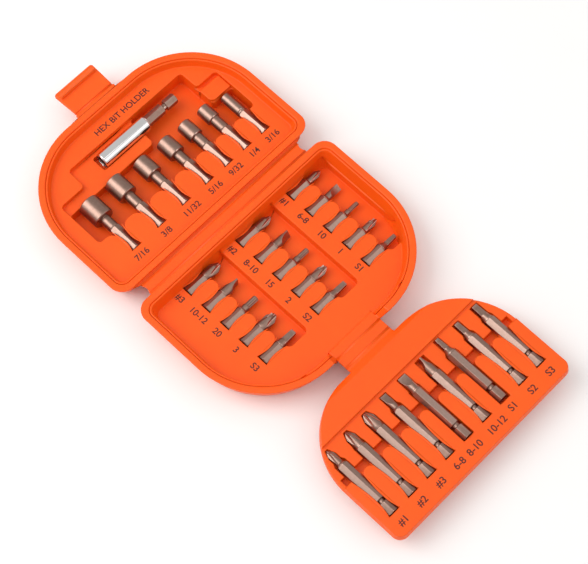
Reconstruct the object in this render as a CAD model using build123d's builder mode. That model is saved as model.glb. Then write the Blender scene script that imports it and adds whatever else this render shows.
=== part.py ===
from build123d import *
import math
import os

# A folding bit case, lying open: lid, base and flap in a row along X, with 32 driver tools.
# Origin: middle of the base's underside. +X runs from the lid to the flap, +Z is up.

# ---------------------------------------------------------------- driving dimensions, mm
HEX_AF = 6.35                      # quarter-inch drive hexagon, across flats
HEX_AC = HEX_AF / math.cos(math.radians(30))
INSERT_LEN = 25.4
POWER_LEN = 50.8
BIT_PROUD = 1.0                    # how far a bit's top edge stands over its tray
BIT_SINK = HEX_AC / 2 - BIT_PROUD  # a bit's axis below its tray's face
LIFT_GAP = 0.15                    # clearance round a seated bit

RIM_Z = 20.0                       # parting plane: both shells' rims
PANEL_HALF = 78.0                  # half the width of lid and base, along Y
NEAR_R = 9.0                       # corners beside the hinge
FAR_R = 53.0                       # big corners away from the hinge
DRAFT_IN = 6.0                     # how far the walls lean in from rim to underside
BOTTOM_R = 8.0
RIM_W = 4.2                        # width of the rim's top face
SKIN = 2.2                         # thickness of the shells' floors
CAVITY_IN = DRAFT_IN + SKIN
CAVITY_R = 6.0
SKIN_STEP = 2.0                    # a cavity's near corners are this much tighter at its floor
SEAM = 0.15                        # gap between a shell and its tray
INNER_R = 6.0                      # corners beside the hinge, inside a shell
TRAY_INNER_R = 5.0                 # and inside a tray's wall
TRAY_FOOT_T = 1.2                  # thickness of a tray's wall at its face
TRAY_WALL_T = 1.0                  # and at its top

BASE_LEN = 104.5
LID_LEN = 102.3
HINGE_X = -BASE_LEN / 2 - 5.0      # middle of the strip between lid and base
BASE_NEAR = HINGE_X + 5.0
BASE_FAR = BASE_NEAR + BASE_LEN
LID_NEAR = HINGE_X - 5.0
LID_FAR = LID_NEAR - LID_LEN

FOLD = 3.5                         # fold lines lie this far each side of a hinge's middle
FILM_HALF = 0.6                    # half the width of a living-hinge film
STRIP_T = 1.0                      # thickness of a hinge strip
FILM_T = 0.4
FILM_PAST_NOTCH = 0.9              # at the fold lines the strips reach this far past the notches' inner ends
LID_FOLD_Z = RIM_Z - FOLD + 0.15   # leaves the closed rims 0.3 apart
SPINE_HALF = 63.0
NOTCH_R = 5.0                      # rounded notches at the hinge's two ends
NECK_X = HINGE_X + 110.6
NECK_FOLD_Z = 12.25
NECK_TOP_Z = NECK_FOLD_Z + STRIP_T / 2
NECK_HALF = 17.8

TRAY_SKIN = 1.6
BASE_FACE_Z = 11.0                 # face of the base tray that carries the labels
LID_FACE_Z = 14.5
FLAP_FACE_Z = 17.5
TRAY_TOP_Z = RIM_Z - 0.6

SLOT_END_HALF = 3.75               # half width of a bit slot at its ends
SLOT_WAIST_HALF = 3.35             # and at its waist, just clear of the hexagon
WAIST_SHARE = 0.55                 # where the waist is along a slot, from its tail
SLOT_TAIL_GAP = 0.5
SLOT_LAP = 0.3                     # slots run this far into the pocket that they open into
ON_LINE = 0.05                     # how near a corner is to a line to count as on it
PAN_T = 1.2                        # skin under a tray's slots and wells
PAN_SIDE = 1.4                     # and beside them
LOBE_R = 3.4                       # rounded ends of the lands between slots
WIDE_LOBE_R = 5.5

# ---------------------------------------------------------------- tip sizes
# cross and ribbed cross: root diameter of the point, end diameter, half thickness of a wing
CROSS = {1: (4.6, 1.1, 0.45), 2: (6.0, 1.9, 0.6), 3: (7.0, 3.0, 0.8)}
# slotted: blade width, blade thickness at its edge
SLOTTED = {"6_8": (4.6, 0.8), "8_10": (5.6, 1.0), "10_12": (6.4, 1.2)}
# star: diameter over the lobes
STAR = {10: 2.8, 15: 3.4, 20: 3.95}
# square: width of the tip's flat end
SQUARE = {1: 2.4, 2: 2.9, 3: 3.4}

# ---------------------------------------------------------------- where the bits lie
INSERT_PITCH = 15.15
INSERT_X = [HINGE_X + 46.15 + INSERT_PITCH * (i - 2) for i in range(5)]
INSERT_ROW_PITCH = 42.3
INSERT_TAIL_Y = [38.2 - INSERT_ROW_PITCH * i for i in range(3)]
INSERT_SLOT_LEN = 15.7
POCKET_LEN = 15.4
POCKET_MID_X = HINGE_X + 46.4
POCKET_W = 72.0
POCKET_R = 3.0
ROW_CUT_H = 10.0                   # the rows are cut this high, below the tray wall's top
INSERT_Z = BASE_FACE_Z - BIT_SINK

SETTER_TAIL_X = HINGE_X - 24.5
SETTER_Z = 10.7
# size name: y of the axis, socket diameter, socket across flats, socket length, whole length
SETTERS = {
    "3_16": (58.2, 7.0, 4.76, 14.6, 34.6),
    "1_4": (43.0, 9.1, 6.35, 10.6, 38.3),
    "9_32": (27.5, 10.0, 7.14, 11.7, 38.7),
    "5_16": (11.4, 11.4, 7.94, 12.3, 39.1),
    "11_32": (-7.6, 11.7, 8.73, 12.8, 39.6),
    "3_8": (-27.6, 12.9, 9.53, 13.6, 41.7),
    "7_16": (-48.0, 14.0, 11.11, 14.3, 41.5),
}
SETTER_NECK_D = 7.0
SETTER_SHANK_LEN = 19.3
LOBE_X = HINGE_X - 41.0            # where the slots open into the heads' well
WELL_FLOOR_Z = 3.5
WELL_LOW_Y = -61.6                 # the lid's well, along Y
WELL_HIGH_Y = 65.7
WELL_BACK_X = HINGE_X - 74.0       # its far wall beside the low lands
DEEP_BACK_X = HINGE_X - 67.0       # where the deep zone ends at the low lands
BAY_BACK_X = HINGE_X - 88.0        # the bay at the holder's hexagonal end
STEP_X = HINGE_X - 60.3            # the block's side of the deep zone
BAY_LOW_Y = -42.5
BAY_MID_Y = 7.0
BAY_HIGH_Y = 49.9
NARROW_LANDS_Y = 9.0               # above this the lid's lands are narrow
WELL_R = 2.5
BLOCK_X = HINGE_X - 66.2           # the raised block in the well's corner
BLOCK_Y = 57.6
BLOCK_LEN = 10.5
BLOCK_W = 15.6
BLOCK_R = 3.5

HOLDER_X = HINGE_X - 79.8
HOLDER_Z = 11.5
HOLDER_TOP_Y = 36.6                # the hexagonal end
HOLDER_LEN = 60.0
SLEEVE_LEN = 36.4
SLEEVE_D = 10.0

POWER_PITCH = 15.13
POWER_MID_Y = -0.8
POWER_TAIL_X = HINGE_X + 191.6
POWER_Z = FLAP_FACE_Z - BIT_SINK
POWER_NAMES = ["cross_1", "cross_2", "cross_3", "slotted_6_8", "slotted_8_10",
               "slotted_10_12", "square_1", "square_2", "square_3"]
# These two lie with a flat upward, too wide for the waist, so they ride higher in open slots.
HIGH_BITS = {"slotted_8_10": 0.0, "square_1": 1.2}   # shift toward the neck
POWER_HEX_LEN = 39.0
HIGH_LIFT = 1.1
HIGH_WAIST_HALF = 3.9
# how far each long blade is rolled from lying flat, degrees
POWER_BLADE_TURNS = {"6_8": 12, "8_10": 0, "10_12": 90}

FLAP_NEAR = HINGE_X + 118.0
FLAP_FAR = HINGE_X + 206.2
FLAP_HALF = 71.4
FLAP_CORNER_R = 46.5
FLAP_FAR_R = 6.0
FLAP_T = 8.0
FLAP_SKIN = 1.7
FLAP_BACK_WALL = 3.0               # the wall round the hollow in the flap's back
TIP_STEP_AND_SKIN = 3.0            # the hollow's ceiling lies this far below the face, plus the skin
FLAP_WIDEST_Z = 12.6               # above and below this the flap's edge leans in
FLAP_TOP_IN = 0.9
FLAP_BACK_IN = 4.5                 # clears the lid's rim when the case is shut
RAMP_TOP_X = HINGE_X + 122.0
TIP_ZONE_X = HINGE_X + 138.3
GROOVE_X = HINGE_X + 158.3
LAND_X = HINGE_X + 163.4
TIP_ZONE_Z = FLAP_FACE_Z - 2.0
POWER_SLOT_Z = POWER_Z - HEX_AC / 2 - LIFT_GAP

TAB_FOLD_X = LID_FAR - 3.0
TAB_END = HINGE_X - 129.0
TAB_HALF = 15.4
TAB_T = 2.0
TAB_TOP_Z = RIM_Z - 0.7
TAB_LEAN = 0.7                     # the tab is this much narrower at its fold, each side
TAB_R = 1.8
HOOK_H = 2.2
HOOK_START = 1.5                   # the catch: a ramp, back from the tab's end
HOOK_RISE_END = 5.0
HOOK_END = 6.0

os.makedirs("parts", exist_ok=True)


def save(solid, name):
    """Label a finished piece and write it under its own name."""
    solid.label = name
    export_step(solid, f"parts/{name}.step")


# ---------------------------------------------------------------- panels
def panel_sketch(near, far, z, inset, near_r=NEAR_R):
    """Outline of a lid or base at height z, moved in by inset."""
    side = math.copysign(1, far - near)
    x_near = near + side * inset
    x_far = far - side * inset
    with BuildSketch(Plane.XY.offset(z)) as outline:
        with Locations(((x_near + x_far) / 2, 0)):
            Rectangle(abs(x_far - x_near), 2 * (PANEL_HALF - inset))
        far_corners = outline.vertices().filter_by(lambda v: abs(v.X - x_far) < ON_LINE)
        fillet(far_corners, FAR_R - inset)
        near_corners = outline.vertices().filter_by(lambda v: abs(v.X - x_near) < ON_LINE)
        fillet(near_corners, near_r)
    return outline.sketch


def panel_cavity(near, far):
    """The space inside a shell, open at the rim."""
    with BuildPart() as cavity:
        loft([panel_sketch(near, far, SKIN, CAVITY_IN, NEAR_R - SKIN_STEP),
              panel_sketch(near, far, RIM_Z, RIM_W, INNER_R)])
        fillet(cavity.edges().group_by(Axis.Z)[0], CAVITY_R)
    return cavity.part


def panel_shell(near, far):
    """An outer shell: drafted walls, rounded underside, open at the rim."""
    cavity = panel_cavity(near, far)
    with BuildPart() as shell:
        loft([panel_sketch(near, far, 0, DRAFT_IN), panel_sketch(near, far, RIM_Z, 0)])
        fillet(shell.edges().group_by(Axis.Z)[0], BOTTOM_R)
        add(cavity, mode=Mode.SUBTRACT)
    return shell.part


def tray_blank(near, far, face_z):
    """A tray before its wells are added: a face, and a wall that rises inside the rim."""
    lean = (CAVITY_IN - RIM_W) / (RIM_Z - SKIN)
    low_z = face_z - TRAY_SKIN
    top_in = RIM_W + SEAM + lean * (RIM_Z - TRAY_TOP_Z)
    low_in = RIM_W + SEAM + lean * (RIM_Z - low_z)
    with BuildPart() as blank:
        loft([panel_sketch(near, far, low_z, low_in, INNER_R), panel_sketch(near, far, TRAY_TOP_Z, top_in, INNER_R)])
        loft([panel_sketch(near, far, face_z, low_in + TRAY_FOOT_T, TRAY_INNER_R),
              panel_sketch(near, far, RIM_Z, top_in + TRAY_WALL_T, TRAY_INNER_R)], mode=Mode.SUBTRACT)
    return blank.part


# ---------------------------------------------------------------- slots
def slot_sketch(length, end_half=SLOT_END_HALF, waist_half=SLOT_WAIST_HALF):
    """A waisted bit slot with its tail end on the origin, running along +Y."""
    with BuildSketch() as slot:
        with BuildLine():
            right = ThreePointArc((end_half, 0), (waist_half, length * WAIST_SHARE), (end_half, length))
            Line(right @ 1, (-end_half, length))
            left = ThreePointArc((-end_half, length), (-waist_half, length * WAIST_SHARE), (-end_half, 0))
            Line(left @ 1, right @ 0)
        make_face()
    return slot.sketch


def insert_row_sketch(tail_y, z, grow=0.0):
    """One row of the base: five slots that open into one pocket for the tips."""
    mouth_y = tail_y + INSERT_SLOT_LEN
    slot = slot_sketch(INSERT_SLOT_LEN + SLOT_TAIL_GAP + SLOT_LAP)
    with BuildSketch(Plane.XY.offset(z)) as row:
        with Locations((POCKET_MID_X, mouth_y + POCKET_LEN / 2)):
            RectangleRounded(POCKET_W, POCKET_LEN, POCKET_R)
        with Locations(*[(x, tail_y - SLOT_TAIL_GAP) for x in INSERT_X]):
            add(slot)
        lobe_corners = row.vertices().filter_by(
            lambda v: abs(v.Y - mouth_y) < ON_LINE and INSERT_X[0] < v.X < INSERT_X[-1])
        fillet(lobe_corners, LOBE_R)
        if grow:
            offset(amount=grow)
    return row.sketch


def setter_well_sketch(z):
    """The lid's well: the heads' zone, the holder's end bay and the lower lands."""
    with BuildSketch(Plane.XY.offset(z)) as well:
        with BuildLine():
            Polyline((WELL_BACK_X, WELL_HIGH_Y), (LOBE_X, WELL_HIGH_Y), (LOBE_X, WELL_LOW_Y),
                     (WELL_BACK_X, WELL_LOW_Y), (WELL_BACK_X, BAY_LOW_Y), (BAY_BACK_X, BAY_LOW_Y),
                     (BAY_BACK_X, BAY_HIGH_Y), (WELL_BACK_X, BAY_HIGH_Y), close=True)
        make_face()
        fillet(well.vertices(), WELL_R)
    return well.sketch


def setter_slots_sketch(z, grow=0.0):
    """Seven shank slots in the lid, tails toward the hinge."""
    length = LOBE_X - SETTER_TAIL_X
    slot = slot_sketch(abs(length) + SLOT_TAIL_GAP + 0.5).rotate(Axis.Z, 90)
    with BuildSketch(Plane.XY.offset(z)) as slots:
        with Locations(*[(SETTER_TAIL_X + SLOT_TAIL_GAP, row[0]) for row in SETTERS.values()]):
            add(slot)
        if grow:
            offset(amount=grow)
    return slots.sketch


def deep_zone_sketch(z):
    """The deep part of the lid's well, which rounds the lands between the slots."""
    with BuildSketch(Plane.XY.offset(z)) as zone:
        with BuildLine():
            Polyline((LOBE_X, WELL_HIGH_Y), (LOBE_X, WELL_LOW_Y), (DEEP_BACK_X, WELL_LOW_Y),
                     (DEEP_BACK_X, BAY_MID_Y), (BAY_BACK_X, BAY_MID_Y), (BAY_BACK_X, BAY_HIGH_Y),
                     (STEP_X, BAY_HIGH_Y), (STEP_X, WELL_HIGH_Y), close=True)
        make_face()
        fillet(zone.vertices(), WELL_R)
        add(setter_slots_sketch(z))
        mouths = zone.vertices().filter_by(
            lambda v: abs(v.X - LOBE_X) < ON_LINE and NARROW_LANDS_Y < v.Y < SETTERS["3_16"][0])
        fillet(mouths, LOBE_R)
        mouths = zone.vertices().filter_by(
            lambda v: abs(v.X - LOBE_X) < ON_LINE and WELL_LOW_Y + 2 * WELL_R < v.Y < NARROW_LANDS_Y)
        fillet(mouths, WIDE_LOBE_R)
        add(setter_slots_sketch(z), mode=Mode.SUBTRACT)
    return zone.sketch


# ---------------------------------------------------------------- base
SLOT_FLOOR_Z = INSERT_Z - HEX_AC / 2 - LIFT_GAP

with BuildPart() as notch_cut:
    with Locations((HINGE_X, SPINE_HALF + NOTCH_R, LID_FOLD_Z), (HINGE_X, -SPINE_HALF - NOTCH_R, LID_FOLD_Z)):
        Cylinder(NOTCH_R, 3 * STRIP_T)

with BuildPart() as neck_cut:
    with BuildSketch(Plane.YZ.offset(BASE_FAR - 16)):
        with BuildLine():
            Polyline((-NECK_HALF, NECK_TOP_Z), (NECK_HALF, NECK_TOP_Z), (NECK_HALF + 5, RIM_Z + 1),
                     (-NECK_HALF - 5, RIM_Z + 1), close=True)
        make_face()
    extrude(amount=20)
    with Locations((NECK_X - FOLD - FILM_HALF + 5, 0, NECK_FOLD_Z)):
        Box(10, 2 * NECK_HALF, 3)

with BuildPart() as base_shell:
    add(panel_shell(BASE_NEAR, BASE_FAR))
    with Locations((BASE_NEAR + 0.6, 0, LID_FOLD_Z)):
        Box(3.0, 2 * (SPINE_HALF + NOTCH_R), STRIP_T)
    add(notch_cut.part, mode=Mode.SUBTRACT)
    with Locations((NECK_X - FOLD - FILM_HALF - 3.0, 0, NECK_TOP_Z - 4.0)):
        Box(6.0, 2 * NECK_HALF, 8.0)
    add(neck_cut.part, mode=Mode.SUBTRACT)
    with Locations((BASE_FAR - 4.2, 0, 9.6)):
        Box(5.0, 24, 2.0)
save(base_shell.part, "base_shell")

with BuildPart() as base_tray:
    add(tray_blank(BASE_NEAR, BASE_FAR, BASE_FACE_Z))
    for tail_y in INSERT_TAIL_Y:
        extrude(insert_row_sketch(tail_y, SLOT_FLOOR_Z - PAN_T, PAN_SIDE), amount=BASE_FACE_Z - SLOT_FLOOR_Z + 0.4)
    for tail_y in INSERT_TAIL_Y:
        extrude(insert_row_sketch(tail_y, SLOT_FLOOR_Z), amount=ROW_CUT_H, mode=Mode.SUBTRACT)
    with BuildSketch(Plane.XZ.offset(-NECK_HALF)):
        with BuildLine():
            Polyline((BASE_FAR - 11, BASE_FACE_Z - 0.5), (BASE_FAR - 11, BASE_FACE_Z),
                     (BASE_FAR - 7, NECK_TOP_Z), (BASE_FAR - 6.4, NECK_TOP_Z),
                     (BASE_FAR - 6.4, BASE_FACE_Z - 0.5), close=True)
        make_face()
    extrude(amount=2 * NECK_HALF)
    add(neck_cut.part, mode=Mode.SUBTRACT)
    with Locations((BASE_FAR - 5.0, 0, TRAY_TOP_Z)):
        Box(5.0, 84, 2.2, mode=Mode.SUBTRACT)
    add(base_shell.part, mode=Mode.SUBTRACT)
    add(base_tray.solids().sort_by(SortBy.VOLUME)[-1], mode=Mode.REPLACE)
save(base_tray.part, "base_tray")

# ---------------------------------------------------------------- lid
LID_SLOT_FLOOR_Z = SETTER_Z - HEX_AC / 2 - LIFT_GAP
HOLDER_SLOT_FLOOR_Z = HOLDER_Z - SLEEVE_D / 2 - LIFT_GAP
LOW_LAND_Z = LID_FACE_Z - 3.5
SLEEVE_SLOT_HALF = SLEEVE_D / 2 + 0.2
SLEEVE_SLOT_LEN = 42.0
SLEEVE_SLOT_R = 1.2

with BuildPart() as lid_shell:
    add(panel_shell(LID_NEAR, LID_FAR))
    with Locations((LID_NEAR - 0.6, 0, LID_FOLD_Z)):
        Box(3.0, 2 * (SPINE_HALF + NOTCH_R), STRIP_T)
    add(notch_cut.part, mode=Mode.SUBTRACT)
    with Locations((TAB_FOLD_X / 2 + FILM_HALF / 2 + LID_FAR / 2 + 0.75, 0, TAB_TOP_Z - TAB_T / 2)):
        Box(LID_FAR - TAB_FOLD_X - FILM_HALF + 1.5, 2 * TAB_HALF, TAB_T)
save(lid_shell.part, "lid_shell")

with BuildPart() as lid_tray:
    add(tray_blank(LID_NEAR, LID_FAR, LID_FACE_Z))
    with BuildSketch(Plane.XY.offset(WELL_FLOOR_Z - PAN_T)):
        add(setter_well_sketch(0))
        offset(amount=1.5)
    extrude(amount=LID_FACE_Z - WELL_FLOOR_Z + 0.5)
    extrude(setter_slots_sketch(LID_SLOT_FLOOR_Z - PAN_T, PAN_SIDE), amount=LID_FACE_Z - LID_SLOT_FLOOR_Z + 0.4)
    extrude(setter_well_sketch(LOW_LAND_Z), amount=RIM_Z, mode=Mode.SUBTRACT)
    extrude(deep_zone_sketch(WELL_FLOOR_Z), amount=RIM_Z, mode=Mode.SUBTRACT)
    extrude(setter_slots_sketch(LID_SLOT_FLOOR_Z), amount=RIM_Z, mode=Mode.SUBTRACT)
    with BuildSketch(Plane.XY.offset(HOLDER_SLOT_FLOOR_Z)):
        with Locations((HOLDER_X, HOLDER_TOP_Y - HOLDER_LEN + 18.5)):
            RectangleRounded(2 * SLEEVE_SLOT_HALF, SLEEVE_SLOT_LEN, SLEEVE_SLOT_R)
    extrude(amount=RIM_Z, mode=Mode.SUBTRACT)
    with BuildSketch(Plane.XY.offset(WELL_FLOOR_Z - 1.0)) as block:
        with Locations((BLOCK_X, BLOCK_Y)):
            Rectangle(BLOCK_LEN, BLOCK_W)
        fillet(block.vertices().group_by(Axis.Y)[0].sort_by(Axis.X)[-1], BLOCK_R)
    extrude(amount=LID_FACE_Z - 0.5 - WELL_FLOOR_Z)
    add(lid_shell.part, mode=Mode.SUBTRACT)
save(lid_tray.part, "lid_tray")

# ---------------------------------------------------------------- latch tab
with BuildPart() as latch_tab:
    with BuildSketch(Plane.XY.offset(TAB_TOP_Z - TAB_T)):
        with BuildLine():
            Polyline((TAB_FOLD_X - FILM_HALF, TAB_HALF - TAB_LEAN), (TAB_END, TAB_HALF), (TAB_END, -TAB_HALF),
                     (TAB_FOLD_X - FILM_HALF, -TAB_HALF + TAB_LEAN), close=True)
        make_face()
        fillet(vertices().group_by(Axis.X)[0], TAB_R)
    extrude(amount=TAB_T)
    with BuildSketch(Plane.XZ.offset(-TAB_HALF + HOOK_START)):
        with BuildLine():
            Polyline((TAB_END + HOOK_START, TAB_TOP_Z), (TAB_END + HOOK_RISE_END, TAB_TOP_Z + HOOK_H),
                     (TAB_END + HOOK_END, TAB_TOP_Z + HOOK_H), (TAB_END + HOOK_END, TAB_TOP_Z), close=True)
        make_face()
    extrude(amount=2 * (TAB_HALF - HOOK_START))
save(latch_tab.part, "latch_tab")

# ---------------------------------------------------------------- hinge strips and films
with BuildPart() as lid_hinge_spine:
    with Locations((HINGE_X, 0, LID_FOLD_Z)):
        Box(2 * (FOLD - FILM_HALF), 2 * (SPINE_HALF + NOTCH_R), STRIP_T)
    add(notch_cut.part, mode=Mode.SUBTRACT)
    add(lid_hinge_spine.solids().sort_by(SortBy.VOLUME)[-1], mode=Mode.REPLACE)
save(lid_hinge_spine.part, "lid_hinge_spine")

with BuildPart() as neck_spine:
    with Locations((NECK_X, 0, NECK_FOLD_Z)):
        Box(2 * (FOLD - FILM_HALF), 2 * NECK_HALF, STRIP_T)
save(neck_spine.part, "neck_spine")

# film name: x of the fold line, z, half length
FILMS = {
    "hinge_film_lid": (HINGE_X - FOLD, LID_FOLD_Z, SPINE_HALF + FILM_PAST_NOTCH),
    "hinge_film_base": (HINGE_X + FOLD, LID_FOLD_Z, SPINE_HALF + FILM_PAST_NOTCH),
    "hinge_film_neck": (NECK_X - FOLD, NECK_FOLD_Z, NECK_HALF),
    "hinge_film_flap": (NECK_X + FOLD, NECK_FOLD_Z, NECK_HALF),
    "hinge_film_latch": (TAB_FOLD_X, TAB_TOP_Z - TAB_T / 2, TAB_HALF - TAB_LEAN),
}
for film_name, (film_x, film_z, film_half) in FILMS.items():
    with BuildPart() as film:
        with Locations((film_x, 0, film_z)):
            Box(2 * FILM_HALF, 2 * film_half, FILM_T)
    save(film.part, film_name)

# ---------------------------------------------------------------- flap
POWER_Y = [POWER_MID_Y + POWER_PITCH * (i - 4) for i in range(9)]
POWER_SLOT_LEN = POWER_TAIL_X + SLOT_TAIL_GAP - LAND_X + 0.5
GROOVE_HALF = FLAP_HALF - 3.0
HEX_FRONT_X = POWER_TAIL_X - POWER_HEX_LEN - 1.6
WAY_HALF = 4.0
WAY_NARROWS = 2.0                  # length over which a way narrows from the shank to the tip
POINT_LEN = 5.0                    # and over which it follows the point
TIP_GAP = 0.45
CONE_R = 2.9                       # a square tip's cone where the narrow way starts
FLAP_PAN_T = 1.3                   # skin under and round the flap's slots


def flap_sketch(z, inset):
    """Outline of the flap: large corners toward the neck, small ones at the far edge."""
    with BuildSketch(Plane.XY.offset(z)) as outline:
        with Locations(((FLAP_NEAR + FLAP_FAR) / 2, 0)):
            Rectangle(FLAP_FAR - FLAP_NEAR - 2 * inset, 2 * (FLAP_HALF - inset))
        near_corners = outline.vertices().group_by(Axis.X)[0]
        fillet(near_corners, FLAP_CORNER_R - inset)
        far_corners = outline.vertices().group_by(Axis.X)[-1]
        fillet(far_corners, max(FLAP_FAR_R - inset, 1.5))
    return outline.sketch


def power_cut_sketch(z, grow=0.0):
    """Nine waisted slots in the flap's land, their groove, and a way for each shank's front."""
    way_len = LAND_X - HEX_FRONT_X
    with BuildSketch(Plane.XY.offset(z)) as cut:
        with Locations(((GROOVE_X + LAND_X) / 2, 0)):
            Rectangle(LAND_X - GROOVE_X, 2 * GROOVE_HALF)
        for bit_name, y in zip(POWER_NAMES, POWER_Y):
            waist = HIGH_WAIST_HALF if bit_name in HIGH_BITS else SLOT_WAIST_HALF
            with Locations((POWER_TAIL_X + SLOT_TAIL_GAP, y)):
                add(slot_sketch(POWER_SLOT_LEN, WAY_HALF, waist).rotate(Axis.Z, 90))
        lobe_corners = cut.vertices().filter_by(
            lambda v: abs(v.X - LAND_X) < ON_LINE and POWER_Y[0] < v.Y < POWER_Y[-1])
        fillet(lobe_corners, LOBE_R)
        with Locations(*[(LAND_X - way_len / 2, y) for y in POWER_Y]):
            Rectangle(way_len, 2 * WAY_HALF)
        if grow:
            offset(amount=grow)
    return cut.sketch


def tip_half_widths(bit_name):
    """Half widths of a power bit's tip at its root and at its end."""
    kind, size = bit_name.split("_", 1)
    if kind == "cross":
        return CROSS[int(size)][0] / 2, CROSS[int(size)][1] / 2
    if kind == "slotted":
        return SLOTTED[size][0] / 2, SLOTTED[size][0] / 2
    return SQUARE[int(size)] * 0.75, SQUARE[int(size)] * 0.75


def tip_floor_z(bit_name):
    """Floor of a tip's way. A square tip stands on a longer cone, so its way is deeper."""
    root = tip_half_widths(bit_name)[0]
    deepest = max(root, CONE_R) if bit_name.startswith("square") else root
    return POWER_Z - deepest - TIP_GAP


def tip_way_sketch(bit_name, y, z, grow=0.0):
    """The way for one tip: it narrows from the shank's width and follows the point."""
    root, end = tip_half_widths(bit_name)
    end_x = POWER_TAIL_X - HIGH_BITS.get(bit_name, 0.0) - POWER_LEN - TIP_GAP
    half = root + TIP_GAP
    end_half = end + TIP_GAP
    with BuildSketch(Plane.XY.offset(z)) as way:
        with BuildLine():
            Polyline((HEX_FRONT_X + 0.5, y - WAY_HALF), (HEX_FRONT_X, y - WAY_HALF),
                     (HEX_FRONT_X - WAY_NARROWS, y - half), (end_x + POINT_LEN, y - half),
                     (end_x, y - end_half), (end_x, y + end_half), (end_x + POINT_LEN, y + half),
                     (HEX_FRONT_X - WAY_NARROWS, y + half), (HEX_FRONT_X, y + WAY_HALF),
                     (HEX_FRONT_X + 0.5, y + WAY_HALF), close=True)
        make_face()
        if grow:
            offset(amount=grow)
    return way.sketch


with BuildPart() as flap_body:
    loft([flap_sketch(FLAP_FACE_Z - FLAP_T, FLAP_BACK_IN), flap_sketch(FLAP_WIDEST_Z, 0)])
    loft([flap_sketch(FLAP_WIDEST_Z, 0), flap_sketch(FLAP_FACE_Z, FLAP_TOP_IN)])

with BuildPart() as slot_pans:
    extrude(power_cut_sketch(POWER_SLOT_Z - FLAP_PAN_T, FLAP_PAN_T), amount=FLAP_FACE_Z - POWER_SLOT_Z - 0.5)
    for bit_name, y in zip(POWER_NAMES, POWER_Y):
        floor_z = tip_floor_z(bit_name)
        extrude(tip_way_sketch(bit_name, y, floor_z - FLAP_PAN_T, FLAP_PAN_T), amount=TIP_ZONE_Z - floor_z)
    add(flap_body.part, mode=Mode.INTERSECT)

with BuildPart() as flap_panel:
    add(flap_body.part)
    neck_lug_x = NECK_X + FOLD + FILM_HALF
    with Locations((neck_lug_x + 5.0, 0, (NECK_FOLD_Z - STRIP_T / 2 + FLAP_FACE_Z) / 2)):
        Box(10.0, 2 * NECK_HALF, FLAP_FACE_Z - NECK_FOLD_Z + STRIP_T / 2)
    with BuildSketch(Plane.XZ.offset(-FLAP_HALF - 1)):
        with BuildLine():
            Polyline((NECK_X, NECK_TOP_Z), (FLAP_NEAR - 1.5, NECK_TOP_Z), (RAMP_TOP_X, FLAP_FACE_Z),
                     (RAMP_TOP_X, FLAP_FACE_Z + 1), (NECK_X, FLAP_FACE_Z + 1), close=True)
        make_face()
    extrude(amount=2 * FLAP_HALF + 2, mode=Mode.SUBTRACT)
    extrude(flap_sketch(FLAP_FACE_Z - FLAP_T, FLAP_BACK_IN + FLAP_BACK_WALL),
            amount=FLAP_T - TIP_STEP_AND_SKIN - FLAP_SKIN, mode=Mode.SUBTRACT)
    add(slot_pans.part)
    with Locations(((TIP_ZONE_X + LAND_X) / 2, 0, (TIP_ZONE_Z + RIM_Z) / 2)):
        Box(LAND_X - TIP_ZONE_X, 2 * FLAP_HALF + 2, RIM_Z - TIP_ZONE_Z, mode=Mode.SUBTRACT)
    extrude(power_cut_sketch(POWER_SLOT_Z), amount=RIM_Z, mode=Mode.SUBTRACT)
    for bit_name, y in zip(POWER_NAMES, POWER_Y):
        floor_z = tip_floor_z(bit_name)
        extrude(tip_way_sketch(bit_name, y, floor_z), amount=RIM_Z, mode=Mode.SUBTRACT)
save(flap_panel.part, "flap_panel")


# ---------------------------------------------------------------- driver bits
SHANK_CHAMFER = 0.5
GROOVE_START = 7.6                 # power shanks: the ball groove, from the tail
GROOVE_LEN = 3.0
GROOVE_DEPTH = 0.9
INSERT_HEX_LEN = 13.6


def groove_ring(lie, start, length, depth):
    """The ring cut away by a ball groove with sloped shoulders."""
    bottom = HEX_AF / 2 - depth
    with BuildPart() as ring:
        with BuildSketch(Plane(lie.origin, x_dir=lie.x_dir, z_dir=lie.y_dir * -1)):
            with BuildLine():
                Polyline((HEX_AC, start - 1.6), (bottom, start + 0.7), (bottom, start + length - 0.7),
                         (HEX_AC, start + length + 1.6), close=True)
            make_face()
        revolve(axis=Axis(lie.origin, lie.z_dir))
    return ring.part


def shank(lie, length, roll=0.0, groove=None):
    """A drive hexagon with cone-cut ends, a corner along the plane's x unless rolled."""
    with BuildPart() as limit:
        with BuildSketch(Plane(lie.origin, x_dir=lie.x_dir, z_dir=lie.y_dir * -1)):
            with BuildLine():
                r_end = HEX_AC / 2 - SHANK_CHAMFER
                Polyline((0, 0), (r_end, 0), (HEX_AC / 2, SHANK_CHAMFER),
                         (HEX_AC / 2, length - SHANK_CHAMFER), (r_end, length), (0, length), close=True)
            make_face()
        revolve(axis=Axis(lie.origin, lie.z_dir))
    with BuildPart() as bar:
        with BuildSketch(lie):
            RegularPolygon(HEX_AC / 2, 6, rotation=roll)
        extrude(amount=length)
        add(limit.part, mode=Mode.INTERSECT)
        if groove is not None:
            add(groove_ring(lie, groove, GROOVE_LEN, GROOVE_DEPTH), mode=Mode.SUBTRACT)
    return bar.part


def turned(lie, points):
    """A body turned about the plane's z from radius and height points."""
    with BuildPart() as body:
        with BuildSketch(Plane(lie.origin, x_dir=lie.x_dir, z_dir=lie.y_dir * -1)):
            with BuildLine():
                Polyline((0, points[0][1]), *points, (0, points[-1][1]), close=True)
            make_face()
        revolve(axis=Axis(lie.origin, lie.z_dir))
    return body.part


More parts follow.
